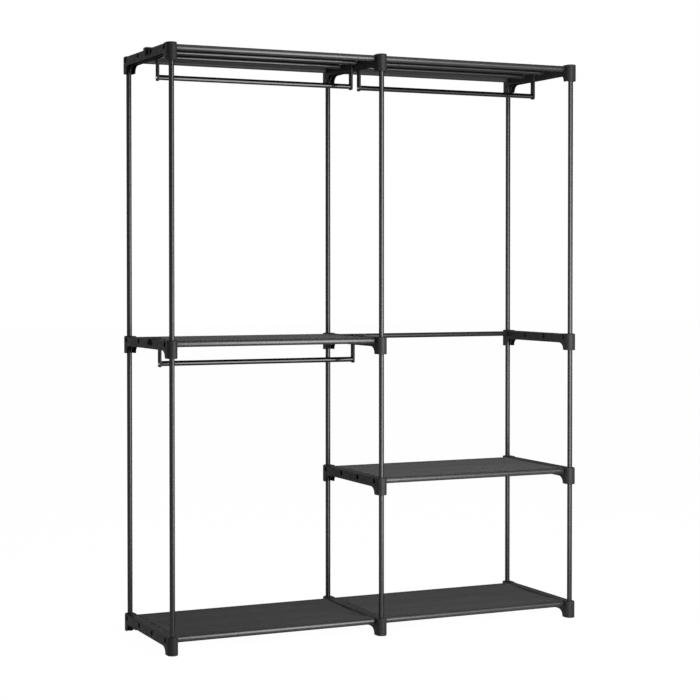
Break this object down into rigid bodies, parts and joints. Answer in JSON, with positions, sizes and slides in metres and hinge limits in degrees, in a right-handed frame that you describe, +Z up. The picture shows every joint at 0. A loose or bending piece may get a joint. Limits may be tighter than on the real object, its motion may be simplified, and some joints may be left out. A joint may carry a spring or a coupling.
{
  "type": "closet rack",
  "caption": "Free-standing closet rack with steel posts, moulded side rails, fabric shelves on tubes and hanging rods on hooks.",
  "frame": {"origin": "on the floor at the middle of the footprint", "axes": "+X to the right along the rack's length, +Y to the back, +Z up"},
  "size_m": [1.4106, 0.437, 1.8038],
  "materials": {
    "black_plastic": "black moulded plastic with a fine satin texture",
    "coated_steel": "satin black coating on steel tube",
    "gloss_steel": "glossy black coating on steel tube",
    "black_cloth": "black non-woven cloth, sewn"
  },
  "bodies": {
    "frame": {"rail_left_bottom": "black_plastic", "rail_left_middle": "black_plastic", "rail_left_top": "black_plastic", "rail_centre_bottom": "black_plastic", "rail_centre_lower": "black_plastic", "rail_centre_middle": "black_plastic", "rail_centre_top": "black_plastic", "rail_right_bottom": "black_plastic", "rail_right_lower": "black_plastic", "rail_right_middle": "black_plastic", "rail_right_top": "black_plastic", "post_left_front": "coated_steel", "post_left_rear": "coated_steel", "post_centre_front": "coated_steel", "post_centre_rear": "coated_steel", "post_right_front": "coated_steel", "post_right_rear": "coated_steel", "shelf_tube_left_bottom_front": "coated_steel", "support_tube_left_bottom_front": "coated_steel", "support_tube_left_bottom_rear": "coated_steel", "shelf_tube_left_bottom_rear": "coated_steel", "shelf_tube_right_bottom_front": "coated_steel", "support_tube_right_bottom_front": "coated_steel", "support_tube_right_bottom_rear": "coated_steel", "shelf_tube_right_bottom_rear": "coated_steel", "shelf_tube_right_lower_front": "coated_steel", "support_tube_right_lower_front": "coated_steel", "support_tube_right_lower_rear": "coated_steel", "shelf_tube_right_lower_rear": "coated_steel", "shelf_tube_left_middle_front": "coated_steel", "support_tube_left_middle_front": "coated_steel", "support_tube_left_middle_rear": "coated_steel", "shelf_tube_left_middle_rear": "coated_steel", "shelf_tube_left_top_front": "coated_steel", "support_tube_left_top_front": "coated_steel", "support_tube_left_top_rear": "coated_steel", "shelf_tube_left_top_rear": "coated_steel", "shelf_tube_right_top_front": "coated_steel", "support_tube_right_top_front": "coated_steel", "support_tube_right_top_rear": "coated_steel", "shelf_tube_right_top_rear": "coated_steel", "cross_tube_right_middle_rear": "coated_steel", "fabric_shelf_left_bottom": "black_cloth", "fabric_shelf_right_bottom": "black_cloth", "fabric_shelf_right_lower": "black_cloth", "fabric_shelf_left_middle": "black_cloth", "fabric_shelf_left_top": "black_cloth", "fabric_shelf_right_top": "black_cloth"},
    "top_left_hanger": {"hanging_rod_top_left": "gloss_steel", "rod_hook_top_left_left": "black_plastic", "rod_hook_top_left_right": "black_plastic"},
    "top_right_hanger": {"hanging_rod_top_right": "gloss_steel", "rod_hook_top_right_left": "black_plastic", "rod_hook_top_right_right": "black_plastic"},
    "middle_left_hanger": {"hanging_rod_middle_left": "gloss_steel", "rod_hook_middle_left_left": "black_plastic", "rod_hook_middle_left_right": "black_plastic"}
  },
  "joints": [
    {"name": "top_left_slide", "type": "slide", "parent": "frame", "child": "top_left_hanger", "axis": [0, 1, 0], "range_m": [-0.023, 0]},
    {"name": "top_right_slide", "type": "slide", "parent": "frame", "child": "top_right_hanger", "axis": [0, 1, 0], "range_m": [0, 0.038]},
    {"name": "middle_left_slide", "type": "slide", "parent": "frame", "child": "middle_left_hanger", "axis": [0, 1, 0], "range_m": [-0.007, 0.075]}
  ]
}
